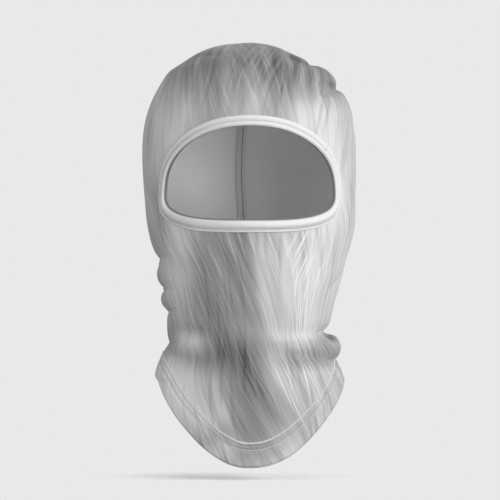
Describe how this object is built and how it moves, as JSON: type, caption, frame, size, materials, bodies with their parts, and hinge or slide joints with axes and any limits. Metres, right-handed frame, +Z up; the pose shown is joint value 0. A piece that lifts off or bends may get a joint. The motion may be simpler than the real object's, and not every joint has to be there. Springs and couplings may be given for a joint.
{
  "type": "balaclava",
  "caption": "One-hole knit balaclava with a bound eye opening, a crown and back seam, and a rounded bib with a coverstitched hem",
  "frame": {"origin": "inside of the crown, where the wearer's head carries the hood", "axes": "+Z up through the crown, -Y the way the face looks, +X the wearer's left"},
  "size_m": [0.1712, 0.2115, 0.3392],
  "materials": {
    "printed_knit": "matte stretch knit printed with grey strands",
    "knit_inside": "matte unprinted back of the knit",
    "binding_tape": "smooth white stretch tape",
    "sewing_thread": "soft twisted polyester thread",
    "woven_label": "blank satin ribbon"
  },
  "bodies": {
    "root": {"hood_shell": "printed_knit", "hem_turn_up": "knit_inside", "seam_allowance_left": "knit_inside", "seam_allowance_right": "knit_inside", "overlock_needle_thread": "sewing_thread", "overlock_looper_thread": "sewing_thread", "eye_binding": "binding_tape", "binding_needle_thread": "sewing_thread", "binding_looper_thread": "sewing_thread", "binding_bartack": "sewing_thread", "hem_needle_thread_lower": "sewing_thread", "hem_needle_thread_upper": "sewing_thread", "hem_looper_thread": "sewing_thread", "care_label": "woven_label"}
  },
  "joints": []
}
